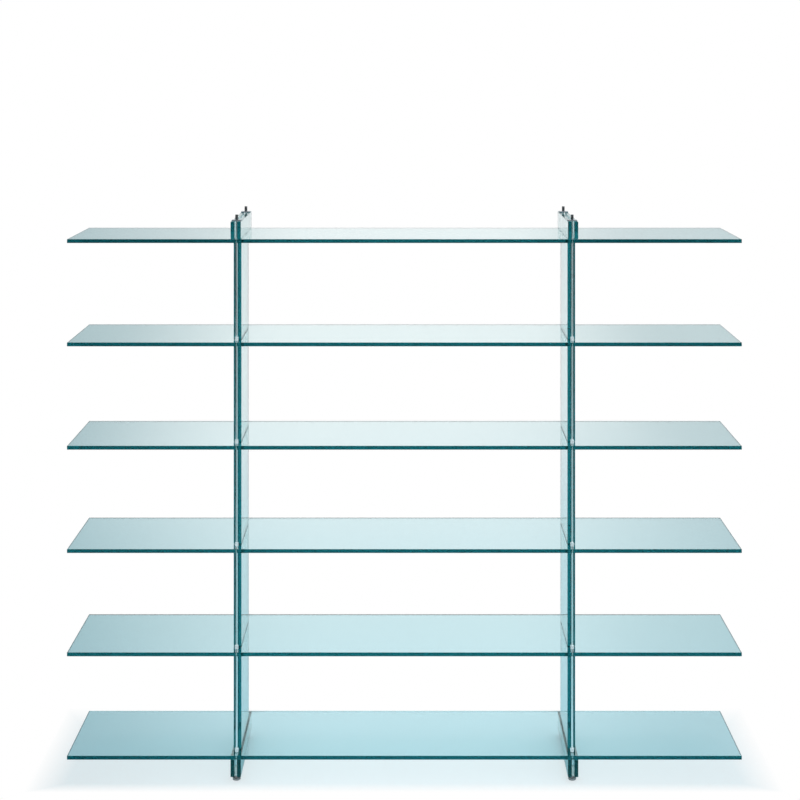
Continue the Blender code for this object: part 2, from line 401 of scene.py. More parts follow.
# Painted shade: the dark colour put on the undersides of the foot panes, where they stand in shade
PAINTED_UNDERSIDE_SHADE = (0.015, 0.03, 0.03, 1.0)
# How nearly a flat face's normal lies along its axis
SQUARE_ON = 0.9
# How deep the marks of grinding and drawing are, and the part of the noise that shapes them
GRAIN_DEPTH = 0.00002
GRAIN_RANGE = (0.3, 0.7)
# How fine the marks of drawing are, across and along a rod
DRAWN_MARKS = (2500.0, 2500.0, 60.0)
# What clouds leave of a colour, and how far marks change steel's roughness
CLOUDED_STEEL = 0.86
CLOUDED_NYLON = 0.8
MARKED_ROUGHNESS = 0.3
# How far from an edge steel is worn, how much of it is bare there, and how that looks
WORN_WIDTH = 0.0004
WORN_SHARE = 0.5
WORN_WHITENESS = 0.4
WORN_SMOOTHNESS = 0.4
NYLON_DEPTH = 0.00005
NYLON_ROUGHNESS = 0.45
SCUFF_ROUGHNESS = 0.25
SCUFF_RANGE = (0.55, 0.75)


def glass_finish(name, look, density, axis, with_painted_shade=False):
    """Clear float glass whose big faces lie across an axis, with ground and polished edges, and
    where asked a dark painted shade on its underside.
    """
    material, graph = new_material(name)
    facing = graph.parts(graph.facing())
    edge = 1 - (abs(facing[axis]) > SQUARE_ON)
    grain = graph.ramp(graph.noise(scale=40.0, detail=3.0), *GRAIN_RANGE)
    streaks = graph.noise(scale=900.0, detail=2.0)
    flat = {"Base Color": WHITE, "Roughness": 0.0, "IOR": look.bending,
            "Transmission Weight": 1.0}
    ground = flat | {"Roughness": look.edge_roughness * (0.5 + grain),
                     "Specular Tint": opaque(look.edge_shine),
                     "Normal": graph.bump(streaks, GRAIN_DEPTH)}
    body = graph.layered(edge, graph.principled(flat), graph.principled(ground))
    haze = graph.add("ShaderNodeBsdfDiffuse", None, [opaque(look.haze_colour)])
    body = graph.layered(edge * look.edge_haze, body, haze)
    # Light for other things goes straight through, so that the glass casts hardly any shadow
    passing = graph.light_path("Is Shadow Ray").larger(graph.light_path("Is Diffuse Ray"))
    clear = graph.add("ShaderNodeBsdfTransparent", None, [CLEAR_GLASS])
    surface = graph.layered(passing, body, clear)
    # Painted shade: a dark, matt layer on the underside of a foot pane, seen from within the
    # glass, stands in for the shade under the foot
    if with_painted_shade:
        painted_shade = graph.principled({"Base Color": PAINTED_UNDERSIDE_SHADE, "Roughness": 1.0,
                                "Specular IOR Level": 0.0})
        underside = facing[2] * (2 * graph.inside() - 1) > SQUARE_ON
        surface = graph.layered(underside, surface, painted_shade)
    inside = graph.add("ShaderNodeVolumeAbsorption", None,
                       {"Color": opaque(look.tint), "Density": density})
    graph.output(surface, inside)
    return material


def steel_finish(name, shade, roughness, metallic=1.0):
    """Steel with the fine marks of drawing and turning, and bright where its edges are worn."""
    material, graph = new_material(name)
    marks = graph.noise(scale=1.0, detail=4.0, where=graph.stretched(DRAWN_MARKS))
    cloud = graph.noise(scale=60.0, detail=3.0)
    tone = graph.blend(cloud, opaque([part * CLOUDED_STEEL for part in shade]), opaque(shade))
    worn = graph.worn(WORN_WIDTH)
    bare = opaque([part + (1 - part) * WORN_WHITENESS for part in shade])
    marked = graph.ramp(marks, *GRAIN_RANGE, roughness * (1 - MARKED_ROUGHNESS),
                        roughness * (1 + MARKED_ROUGHNESS))
    graph.output(graph.principled({
        "Base Color": graph.blend(WORN_SHARE * worn, tone, bare), "Metallic": metallic,
        "Roughness": marked * (1 - WORN_SMOOTHNESS * worn),
        "Normal": graph.bump(marks, GRAIN_DEPTH)}))
    return material


def pad_finish(name, shade):
    """Moulded nylon, faintly mottled and scuffed."""
    material, graph = new_material(name)
    cloud = graph.noise(scale=220.0, detail=4.0)
    scuff = graph.ramp(graph.noise(scale=1400.0, detail=2.0), *SCUFF_RANGE)
    tone = graph.blend(cloud, opaque([part * CLOUDED_NYLON for part in shade]), opaque(shade))
    graph.output(graph.principled({
        "Base Color": tone, "Roughness": NYLON_ROUGHNESS + SCUFF_ROUGHNESS * scuff,
        "Normal": graph.bump(cloud, NYLON_DEPTH)}))
    return material


def dress(names, material):
    """Give CAD nodes a finish."""
    for name in names:
        for slot in NODES[name].material_slots:
            slot.material = material


def nodes_named(start):
    """The CAD nodes whose names start in this way."""
    return sorted(name for name in NODES if name.startswith(start))


# Shapes drawn through rings

HEXAGON_SIDE = math.tau / 6


def middle(node):
    """The upright axis through the middle of a CAD node."""
    low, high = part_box(node)
    return (low + high) / 2


class Loft:
    """A closed shape drawn through rings of points round an upright axis."""

    def __init__(self, centre, sides):
        self.centre = centre
        self.sides = sides
        self.rings = []

    def ring(self, places, height):
        """A ring through these places beside the axis."""
        self.rings.append([(self.centre.x + x, self.centre.y + y, height) for x, y in places])
        return self

    def point(self, height):
        """A pole on the axis."""
        return self.ring([(0.0, 0.0)], height)

    def round(self, radius, height):
        """A circle."""
        turns = [(step + 0.5) / self.sides * math.tau for step in range(self.sides)]
        return self.ring([(radius * math.cos(t), radius * math.sin(t)) for t in turns], height)

    def hexagon(self, across, height):
        """A hexagon of this width across its corners."""
        flat = across / 2 * math.cos(HEXAGON_SIDE / 2)
        places = []
        for step in range(self.sides):
            turn = (step + 0.5) / self.sides * math.tau
            reach = flat / math.cos(turn % HEXAGON_SIDE - HEXAGON_SIDE / 2)
            places.append((reach * math.cos(turn), reach * math.sin(turn)))
        return self.ring(places, height)

    def rectangle(self, width, depth, corner, height):
        """A rectangle with rounded corners."""
        steps = self.sides // 4
        places = []
        for quarter, (right, back) in enumerate(((1, 1), (-1, 1), (-1, -1), (1, -1))):
            for step in range(steps):
                turn = (quarter + step / (steps - 1)) * math.pi / 2
                places.append((right * (width / 2 - corner) + corner * math.cos(turn),
                               back * (depth / 2 - corner) + corner * math.sin(turn)))
        return self.ring(places, height)

    def slab(self, width, depth, corner, bevel, low, high):
        """A plate with rounded corners and bevelled edges between two heights."""
        for inset, height in ((bevel, low), (0.0, low + bevel), (0.0, high - bevel),
                              (bevel, high)):
            self.rectangle(width - 2 * inset, depth - 2 * inset, corner - inset, height)
        return self

    def rounding(self, radius, height, corner, steps=4):
        """A rounded edge from a circle's side at this height up to its top."""
        for step in range(steps + 1):
            turn = step / steps * math.pi / 2
            self.round(radius - corner + corner * math.cos(turn),
                       height + corner * math.sin(turn))
        return self

    def mesh(self, name, hollow=False):
        """The rings joined up, and the last joined to the first where the shape has a bore."""
        shape = bmesh.new()
        rings = [[shape.verts.new(place) for place in ring] for ring in self.rings]
        if hollow:
            rings.append(rings[0])
        for low, high in pairwise(rings):
            for step in range(self.sides):
                after = (step + 1) % self.sides
                corners = [low[step % len(low)], low[after % len(low)],
                           high[after % len(high)], high[step % len(high)]]
                shape.faces.new(list(dict.fromkeys(corners)))
        made = bpy.data.meshes.new(name)
        shape.to_mesh(made)
        shape.free()
        return made


# What repeats, made by Geometry Nodes

SOCKETS = {"Shape": "Geometry", "First": "Vector", "Levels": "Int", "Step": "Float",
           "Radius": "Float", "Size": "Float", "Height": "Float", "Count": "Int",
           "Pitch": "Float", "Finish": "Material"}


def new_tree(name, *sockets):
    """A Geometry Nodes tree with named inputs, and its inputs as wires."""
    tree = bpy.data.node_groups.new(name, "GeometryNodeTree")
    graph = Graph(tree)
    tree.interface.new_socket("Shape", in_out="OUTPUT", socket_type="NodeSocketGeometry")
    for socket in sockets:
        tree.interface.new_socket(socket, in_out="INPUT",
                                  socket_type=f"NodeSocket{SOCKETS[socket]}")
    given = tree.nodes.new("NodeGroupInput")
    return tree, graph, {name: Wire(graph, given.outputs[name]) for name in sockets}


def end_tree(graph, given, unit):
    """Stand a unit at each level beside the given shape, and finish the whole."""
    offset = graph.add("ShaderNodeCombineXYZ", None, {"Z": given["Step"]})
    levels = graph.add("GeometryNodeMeshLine", {"mode": "OFFSET"},
                       {"Count": given["Levels"], "Start Location": given["First"],
                        "Offset": offset})
    units = graph.add("GeometryNodeInstanceOnPoints", None, {"Points": levels, "Instance": unit})
    whole = graph.add("GeometryNodeJoinGeometry", None, {"Geometry": [given["Shape"], units]})
    whole = graph.add("GeometryNodeRealizeInstances", None, {"Geometry": whole})
    whole = graph.add("GeometryNodeSetMaterial", None,
                      {"Geometry": whole, "Material": given["Finish"]})
    graph.add("NodeGroupOutput", None, {"Shape": whole})


def ridges_tree():
    """Upright ridges round a circle, as on a knurled nut."""
    tree, graph, given = new_tree("ridges", "Shape", "First", "Levels", "Step", "Radius",
                                  "Size", "Height", "Count", "Finish")
    circle = graph.add("GeometryNodeMeshCircle", None,
                       {"Vertices": given["Count"], "Radius": given["Radius"]})
    ridge = graph.add("GeometryNodeMeshCylinder", None,
                      {"Vertices": 4, "Radius": given["Size"], "Depth": given["Height"]})
    place = graph.add("GeometryNodeInputIndex")
    turn = graph.add("ShaderNodeCombineXYZ", None, {"Z": place * math.tau / given["Count"]})
    ring = graph.add("GeometryNodeInstanceOnPoints", None,
                     {"Points": circle, "Instance": ridge, "Rotation": turn})
    end_tree(graph, given, ring)
    return tree


def thread_tree():
    """A screw thread that winds up an upright rod."""
    tree, graph, given = new_tree("thread", "Shape", "First", "Levels", "Step", "Radius",
                                  "Size", "Height", "Pitch", "Finish")
    path = graph.add("GeometryNodeCurveSpiral", None,
                     {"Resolution": 16, "Rotations": given["Height"] / given["Pitch"],
                      "Start Radius": given["Radius"], "End Radius": given["Radius"],
                      "Height": given["Height"]})
    profile = graph.add("GeometryNodeCurvePrimitiveCircle", None,
                        {"Resolution": 4, "Radius": given["Size"]})
    thread = graph.add("GeometryNodeCurveToMesh", None,
                       {"Curve": path, "Profile Curve": profile, "Fill Caps": True})
    end_tree(graph, given, thread)
    return tree


TREES = {"ridges": ridges_tree, "thread": thread_tree}


def tree_for(kind):
    """The tree of this kind, made once."""
    return bpy.data.node_groups.get(kind) or TREES[kind]()


def new_object(name, data):
    """An object in the scene."""
    item = bpy.data.objects.new(name, data)
    bpy.context.scene.collection.objects.link(item)
    return item


def worked(mesh, kind, finish, **sizes):
    """A mesh after a Geometry Nodes tree has added its ridges or thread, on one level or more."""
    values = {"Levels": 1, "Step": 0.0, "Finish": finish} | sizes
    tree = tree_for(kind)
    item = new_object(mesh.name, mesh)
    modifier = item.modifiers.new(kind, "NODES")
    modifier.node_group = tree
    for socket in tree.interface.items_tree:
        if socket.in_out == "INPUT" and socket.name in values:
            modifier[socket.identifier] = values[socket.name]
    result = item.evaluated_get(bpy.context.evaluated_depsgraph_get())
    made = bpy.data.meshes.new_from_object(result)
    item.modifiers.remove(modifier)
    bpy.data.objects.remove(item)
    return made


SHARP_ANGLE = math.radians(30)


def add_piece(name, mesh, finish, node):
    """Stand a finished mesh in a CAD node's place, on the node's body."""
    shape = bmesh.new()
    shape.from_mesh(mesh)
    bmesh.ops.recalc_face_normals(shape, faces=shape.faces)
    shape.to_mesh(mesh)
    shape.free()
    mesh.shade_smooth()
    mesh.set_sharp_from_angle(angle=SHARP_ANGLE)
    mesh.materials.clear()
    mesh.materials.append(finish)
    piece = new_object(name, mesh)
    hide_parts(node)
    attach(piece, NODES[node]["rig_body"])


# Rods and nuts

ROUND_SIDES = 48
ROD_SIDES = 24
# Left between neighbouring parts, where the real ones have thin clear pads
SEAT_GAP = 0.0003


def nut_seats():
    """The heights where the sleeve nuts stand, on every shelf but the top one."""
    return [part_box(name)[1].z + SEAT_GAP for name in nodes_named("shelf")[:-1]]


def threaded_rod(spot, look, finish):
    """A rod with a spigot below, and threads cut on the spigot and above each sleeve nut."""
    node = f"tie_rod_{spot}"
    low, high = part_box(node)
    axis = middle(node)
    depth = look.thread_depth
    radius = look.diameter / 2
    core = radius - depth
    spigot = look.spigot_diameter / 2 - depth
    shoulder = low.z + look.spigot_length
    seats = nut_seats()
    rod = Loft(axis, ROD_SIDES).point(low.z)
    rod.round(spigot, low.z).round(spigot, shoulder).round(radius, shoulder)
    for seat in seats:
        top = seat + look.nut_height
        rod.round(radius, top).round(core, top).round(core, top + look.thread_reach)
        rod.round(radius, top + look.thread_reach + depth)
    rod.round(radius, high.z - depth).round(core, high.z).point(high.z)
    mesh = worked(rod.mesh(f"rod_{spot}"), "thread", finish, Levels=len(seats),
                  First=(axis.x, axis.y, seats[0] + look.nut_height + look.pitch / 2),
                  Step=seats[1] - seats[0], Radius=core, Size=depth,
                  Height=look.thread_reach - look.pitch, Pitch=look.pitch)
    return worked(mesh, "thread", finish, First=(axis.x, axis.y, low.z + look.pitch / 2),
                  Radius=spigot, Size=depth, Height=look.spigot_length - look.pitch,
                  Pitch=look.pitch)


def sleeve_nuts(spot, look, finish):
    """A knurled sleeve nut on each of the lower shelves, all on one rod."""
    node = f"tie_rod_{spot}"
    low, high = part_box(node)
    axis = middle(node)
    radius = (high.x - low.x) / 2
    waist = radius - look.knurl_depth
    bore = look.diameter / 2 + SEAT_GAP / 2
    chamfer = look.nut_chamfer
    seats = nut_seats()
    nuts = bmesh.new()
    for seat in seats:
        top = seat + look.nut_height
        nut = Loft(axis, ROUND_SIDES)
        nut.round(bore, seat + chamfer / 2).round(bore + chamfer / 2, seat)
        nut.round(radius - chamfer, seat).round(radius, seat + chamfer)
        nut.round(radius, seat + look.nut_collar)
        nut.round(waist, seat + look.nut_collar + look.knurl_depth)
        nut.round(waist, top - look.nut_collar - look.knurl_depth)
        nut.round(radius, top - look.nut_collar)
        nut.round(radius, top - chamfer).round(radius - chamfer, top)
        nut.round(bore + chamfer / 2, top).round(bore, top - chamfer / 2)
        nuts.from_mesh(nut.mesh("sleeve_nut", hollow=True))
    mesh = bpy.data.meshes.new(f"sleeve_nuts_{spot}")
    nuts.to_mesh(mesh)
    nuts.free()
    band = look.nut_height - 2 * (look.nut_collar + look.knurl_depth)
    return worked(mesh, "ridges", finish, Levels=len(seats), Step=seats[1] - seats[0],
                  First=(axis.x, axis.y, seats[0] + look.nut_height / 2), Radius=waist,
                  Size=look.knurl_depth, Height=band, Count=look.knurl_ridges)


# Plates and cap nuts

def top_plate(spot, look, rods):
    """A plate with rounded corners and bevelled edges, drilled for its rod."""
    node = f"top_plate_{spot}"
    low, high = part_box(node)
    hole = rods.diameter / 2 + SEAT_GAP
    plate = Loft(middle(node), ROUND_SIDES).round(hole, low.z)
    plate.slab(high.x - low.x, high.y - low.y, look.plate_corner, look.plate_bevel,
               low.z, high.z)
    plate.round(hole + look.plate_bevel, high.z).round(hole, high.z - look.plate_bevel)
    return plate.mesh(f"cover_plate_{spot}", hollow=True)


def cap_nut(spot, look, finish):
    """A round nut with a collar, a knurl between two grooves, and a six-sided socket."""
    node = f"cap_nut_{spot}"
    low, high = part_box(node)
    axis = middle(node)
    groove = look.groove
    radius = (high.x - low.x) / 2
    waist = radius - look.knurl_depth
    bore = waist - groove * 2
    bore_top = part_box(f"tie_rod_{spot}")[1].z
    knurl_low = low.z + look.nut_collar
    knurl_high = high.z - look.nut_head
    nut = Loft(axis, ROUND_SIDES).point(bore_top).round(bore, bore_top).round(bore, low.z)
    nut.round(radius - groove, low.z).round(radius, low.z + groove)
    nut.round(radius, knurl_low - groove * 2).round(radius - groove, knurl_low - groove)
    nut.round(waist, knurl_low).round(waist, knurl_high)
    nut.round(radius - groove, knurl_high + groove).round(radius, knurl_high + groove * 2)
    nut.rounding(radius, high.z - look.dome, look.dome)
    nut.round(look.key / 2 + groove, high.z).hexagon(look.key, high.z - groove)
    nut.hexagon(look.key, high.z - look.key_depth)
    nut.point(high.z - look.key_depth - groove)
    return worked(nut.mesh(f"knurled_cap_{spot}"), "ridges", finish, Radius=waist,
                  First=(axis.x, axis.y, (knurl_low + knurl_high) / 2),
                  Size=look.knurl_depth, Height=knurl_high - knurl_low,
                  Count=look.knurl_ridges)


# Feet

def slot_width(side):
    """The gap between a foot's two panes."""
    spans = [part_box(f"foot_pane_{side}_{which}") for which in ("outer", "inner")]
    spans.sort(key=lambda span: span[0].x)
    return spans[1][0].x - spans[0][1].x


def foot_bracket(spot, look):
    """A flange with a web on it, both with rounded corners, bored from end to end."""
    node = f"foot_bracket_{spot}"
    low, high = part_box(node)
    bevel = look.bevel
    width, depth = high.x - low.x, high.y - low.y
    web_width = slot_width(spot.split("_")[0]) - 2 * SEAT_GAP
    web_depth = depth - 2 * bevel
    hole = look.stud_diameter / 2 + SEAT_GAP
    flange_top = low.z + look.flange_thickness
    bracket = Loft(middle(node), ROUND_SIDES).round(hole, low.z)
    bracket.slab(width, depth, look.flange_corner, bevel, low.z, flange_top)
    bracket.rectangle(web_width + 2 * look.fillet, web_depth, look.web_corner, flange_top)
    bracket.rectangle(web_width, web_depth, look.web_corner, flange_top + look.fillet)
    bracket.rectangle(web_width, web_depth, look.web_corner, high.z - bevel)
    bracket.rectangle(web_width - 2 * bevel, web_depth - 2 * bevel, look.web_corner / 2, high.z)
    bracket.round(hole, high.z)
    return bracket.mesh(f"bracket_{spot}", hollow=True)


def glide_mesh(spot, look, rods, finish):
    """A glide: a ribbed disc, a six-sided neck and a stud with the rods' thread."""
    node = f"levelling_glide_{spot}"
    low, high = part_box(node)
    axis = middle(node)
    bevel = look.disc_bevel
    waist = (high.x - low.x) / 2 - look.rib_depth
    core = look.stud_diameter / 2 - rods.thread_depth
    bottom = low.z + look.pad_height
    disc_top = low.z + look.disc_height
    neck_top = disc_top + look.neck_height
    glide = Loft(axis, ROUND_SIDES).point(bottom)
    glide.round(waist - bevel, bottom).round(waist, bottom + bevel)
    glide.rounding(waist, disc_top - bevel, bevel)
    glide.round(look.neck_width / 2 + bevel, disc_top)
    glide.hexagon(look.neck_width, disc_top + bevel / 2)
    glide.hexagon(look.neck_width, neck_top - bevel / 2)
    glide.hexagon(look.neck_width - bevel, neck_top)
    glide.round(core, neck_top).round(core, high.z - rods.thread_depth)
    glide.round(core - rods.thread_depth, high.z).point(high.z)
    mesh = worked(glide.mesh(f"glide_{spot}"), "ridges", finish,
                  First=(axis.x, axis.y, (bottom + disc_top) / 2), Radius=waist,
                  Size=look.rib_depth, Height=disc_top - bottom - 2 * bevel, Count=look.ribs)
    return worked(mesh, "thread", finish, Radius=core, Size=rods.thread_depth,
                  First=(axis.x, axis.y, neck_top + rods.pitch / 2), Pitch=rods.pitch,
                  Height=high.z - neck_top - rods.pitch)


def glide_pad(spot, look):
    """The nylon pad that a glide stands on."""
    node = f"levelling_glide_{spot}"
    low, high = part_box(node)
    bevel = look.disc_bevel
    radius = (high.x - low.x) / 2 - bevel
    top = low.z + look.pad_height
    pad = Loft(middle(node), ROUND_SIDES).point(low.z)
    pad.round(radius - bevel, low.z).round(radius - bevel / 4, low.z + bevel / 4)
    pad.round(radius, low.z + bevel).round(radius, top).point(top)
    return pad.mesh(f"glide_pad_{spot}")


# Operators

class BOOKCASE_OT_shelves(bpy.types.Operator):
    """Finish the shelves in float glass"""

    bl_idname = "bookcase.shelves"
    bl_label = "Shelves"

    def execute(self, context):
        look = context.scene.bookcase_glass
        dress(nodes_named("shelf"), glass_finish("shelf_glass", look, look.shelf_density, 2))
        return {"FINISHED"}


class BOOKCASE_OT_panes(bpy.types.Operator):
    """Finish the upright panes in float glass"""

    bl_idname = "bookcase.panes"
    bl_label = "Upright panes"

    def execute(self, context):
        look = context.scene.bookcase_glass
        density = look.pane_density
        dress(nodes_named("bay"), glass_finish("pane_glass", look, density, 0))
        dress(nodes_named("cap_pane"), glass_finish("cap_glass", look, look.cap_density, 0))
        # The foot panes get painted shade on their undersides
        dress(nodes_named("foot_pane"), glass_finish("foot_glass", look, density, 0, with_painted_shade=True))
        return {"FINISHED"}


class BOOKCASE_OT_rods(bpy.types.Operator):
    """Make the tie rods and the sleeve nuts on them"""

    bl_idname = "bookcase.rods"
    bl_label = "Tie rods"

    def execute(self, context):
        look = context.scene.bookcase_rods
        steel = context.scene.bookcase_steel
        finish = steel_finish("drawn_rod_steel", steel.rod, roughness=0.2, metallic=0.95)
        nut_finish = steel_finish("turned_nut_steel", steel.sleeve_nut, roughness=0.25,
                                  metallic=0.6)
        for spot in SPOTS:
            node = f"tie_rod_{spot}"
            add_piece(f"rod_{spot}", threaded_rod(spot, look, finish), finish, node)
            add_piece(f"sleeve_nuts_{spot}", sleeve_nuts(spot, look, nut_finish), nut_finish, node)
        return {"FINISHED"}


class BOOKCASE_OT_caps(bpy.types.Operator):
    """Make the plates on the cap panes and the cap nuts on them"""

    bl_idname = "bookcase.caps"
    bl_label = "Plates and cap nuts"

    def execute(self, context):
        look = context.scene.bookcase_caps
        rods = context.scene.bookcase_rods
        steel = context.scene.bookcase_steel
        plate_finish = steel_finish("satin_plate_steel", steel.plate, roughness=0.3)
        nut_finish = steel_finish("turned_cap_steel", steel.cap_nut, roughness=0.25)
        for spot in SPOTS:
            add_piece(f"cover_plate_{spot}", top_plate(spot, look, rods), plate_finish,
                      f"top_plate_{spot}")
            add_piece(f"knurled_cap_{spot}", cap_nut(spot, look, nut_finish), nut_finish,
                      f"cap_nut_{spot}")
        return {"FINISHED"}


class BOOKCASE_OT_feet(bpy.types.Operator):
    """Make the brackets under the feet and the levelling glides in them"""

    bl_idname = "bookcase.feet"
    bl_label = "Brackets and glides"

    def execute(self, context):
        look = context.scene.bookcase_feet
        rods = context.scene.bookcase_rods
        steel = context.scene.bookcase_steel
        bracket_finish = steel_finish("cast_bracket_steel", steel.bracket, roughness=0.4,
                                      metallic=0.25)
        glide_finish = steel_finish("turned_glide_steel", steel.glide, roughness=0.35,
                                    metallic=0.6)
        nylon = pad_finish("glide_pad_nylon", steel.pad)
        for spot in SPOTS:
            node = f"levelling_glide_{spot}"
            add_piece(f"bracket_{spot}", foot_bracket(spot, look), bracket_finish,
                      f"foot_bracket_{spot}")
            add_piece(f"glide_{spot}", glide_mesh(spot, look, rods, glide_finish), glide_finish,
                      node)
            add_piece(f"glide_pad_{spot}", glide_pad(spot, look), nylon, node)
        return {"FINISHED"}


class BOOKCASE_OT_studio(bpy.types.Operator):
    """Make the floor, the room, the lamps and the camera"""

    bl_idname = "bookcase.studio"
    bl_label = "Studio"

    def execute(self, context):
        studio = context.scene.bookcase_studio
        add_floor(studio)
        add_room(context.scene, studio)
        add_lamps()
        add_camera(context.scene, studio)
        set_light_paths(context.scene)
        return {"FINISHED"}


# The floor

FLOOR_HALF = 40.0
FLOOR_DROP = 0.0002
FLOOR_FRONT = -0.6
# The floor's colour behind the bookcase, at shares of its run: a painted shadow, darker and tinted
# like the glass near the bookcase, that fades to white
PAPER_RUN = 8.0
PAINTED_SHADOW_STOPS = ((0.0, (0.60, 0.785, 0.865, 1.0)), (0.15, (0.595, 0.76, 0.81, 1.0)),
               (0.29, (0.68, 0.815, 0.86, 1.0)), (0.55, (0.92, 0.94, 0.96, 1.0)),
               (0.8, WHITE))
# Where the floor's colour falls off to the sides, as painted shade for light that falls off:
# between which distances from a middle line, and how much wider those get with each metre back
NEAR_PAINTED_FALLOFF = {"start": 0.7, "end": 1.9, "spread": 0.03}
NEAR_MIDDLE = -0.1
FAR_PAINTED_FALLOFF = {"start": 0.2, "end": 1.5, "spread": 0.25}
FAR_MIDDLE = 0.03
FAR_SWAY = 0.4
FAR_SWAY_RUN = (2.0, 4.5)
RIGHT_PAINTED_FALLOFF = {"start": 0.65, "end": 1.05, "spread": 0.2}
# How much less the right side falls off than the left: painted shade on the floor, and light in
# the room
RIGHT_RELIEF = 0.25
# Where the floor turns white past the photograph's view: metres aside for each metre away
VIEW_EDGE = (0.26, 0.36)
# How far before the shelves a dark strip begins and is full, and where the left corner darkens
DIM_START = 0.06
DIM_REACH = 0.16
DIM_CORNER = (-1.1, -1.7)
DIM_TONE = (0.1, 0.1, 0.1, 1.0)


def painted_falloff_mask(graph, across, back, start, end, spread):
    """Rise from 0 to 1 between two distances across, which widen with each metre back: the mask of
    the floor's painted shade.
    """
    return graph.smooth(across / (1 + back * spread), start, end)


def floor_tone_with_painted_shade(graph, x, y, studio):
    """The floor's colour, with a painted tinted shadow near the bookcase and painted shade to the
    sides, and what glass and steel show of it.
    """
    # Painted shadow: darker and tinted like the glass near the bookcase, whiter further back
    along = graph.add("ShaderNodeValToRGB", {"stops": PAINTED_SHADOW_STOPS}, [y / PAPER_RUN])
    # Painted shade: darker to the sides, where the light falls off, and less so to the right
    near = painted_falloff_mask(graph, abs(x - NEAR_MIDDLE), y, **NEAR_PAINTED_FALLOFF)
    far_middle = FAR_MIDDLE - FAR_SWAY * graph.smooth(y, *FAR_SWAY_RUN)
    far = painted_falloff_mask(graph, abs(x - far_middle), y, **FAR_PAINTED_FALLOFF)
    right = painted_falloff_mask(graph, x, y, **RIGHT_PAINTED_FALLOFF)
    tone = graph.dyed(near.larger(far) * (1 - RIGHT_RELIEF * right), along,
                      opaque(studio.side_tint))
    mirrored, crossed = graph.mirrored(), graph.crossed()
    # White outside the photograph's view, so that from the sides the glass isn't seen too dark
    wide = graph.smooth(abs(x) / (y + studio.camera_distance), *VIEW_EDGE) * (1 - mirrored)
    tone = graph.blend(wide, tone, WHITE)
    # Dark only in mirrored light, to give the glass and the steel something dim to mirror
    strip = 1 - graph.smooth(y, LOW.y - DIM_REACH, LOW.y - DIM_START)
    corner = graph.smooth(x + y, *DIM_CORNER)
    dim = (strip * crossed + corner * (1 - crossed)) * mirrored
    return graph.dyed(dim, tone, DIM_TONE)


def add_floor(studio):
    """A pale floor that shows the bookcase's shadow, partly rendered and partly painted into its
    colour, and fades to white away from it.
    """
    mesh = bpy.data.meshes.new("studio_floor")
    corners = [(-FLOOR_HALF, FLOOR_FRONT, -FLOOR_DROP), (FLOOR_HALF, FLOOR_FRONT, -FLOOR_DROP),
               (FLOOR_HALF, FLOOR_HALF, -FLOOR_DROP), (-FLOOR_HALF, FLOOR_HALF, -FLOOR_DROP)]
    mesh.from_pydata(corners, [], [(0, 1, 2, 3)])
    floor = new_object("studio_floor", mesh)
    material, graph = new_material("studio_floor")
    x, y, _ = graph.parts(graph.place())
    beside = graph.ramp(abs(x), HIGH.x, HIGH.x + studio.shadow_reach)
    behind = graph.ramp(y, HIGH.y, HIGH.y + 2 * studio.shadow_reach)
    before = graph.ramp(y, LOW.y, LOW.y - studio.shadow_reach / 2)
    open_floor = beside.larger(behind).larger(before)
    washed = studio.floor_whiteness + (1 - studio.floor_whiteness) * open_floor
    paper = graph.add("ShaderNodeBsdfDiffuse", None, [floor_tone_with_painted_shade(graph, x, y, studio)])
    white = graph.add("ShaderNodeEmission", None, [WHITE, 1.0])
    graph.output(graph.layered(washed * graph.light_path("Is Camera Ray"), paper, white))
    mesh.materials.append(material)


# The room, whose parts lie in directions given as shares of a step of length 1

BACK_RANGE = (-0.25, 0.1)
ABOVE_RANGE = (-0.02, 0.25)
ABOVE_LEVEL = 0.85
BELOW_RANGE = (0.0, -0.02)
# The low front, which is bright in the first mirrored light, and its left side, which is dim
LOW_FRONT_RANGE = (-0.10, -0.36)
LOW_LEFT_RANGE = (-0.23, -0.5)
LOW_LEFT_DIMNESS = 0.9
UNLIT_LEVEL = 0.08
# Where the back's colour falls off to the sides, and where that ends again
SIDE_MIDDLE = 0.004
SIDE_RANGE = (0.05, 0.285)
SIDE_END_RANGE = (0.45, 0.8)
RIGHT_RANGE = (0.12, 0.19)
# The low part's colour straight through the glass, and in the first mirrored light
THROUGH_TONE = (0.66, 0.81, 0.86, 1.0)
MIRRORED_TONE = (0.36, 0.81, 0.88, 1.0)


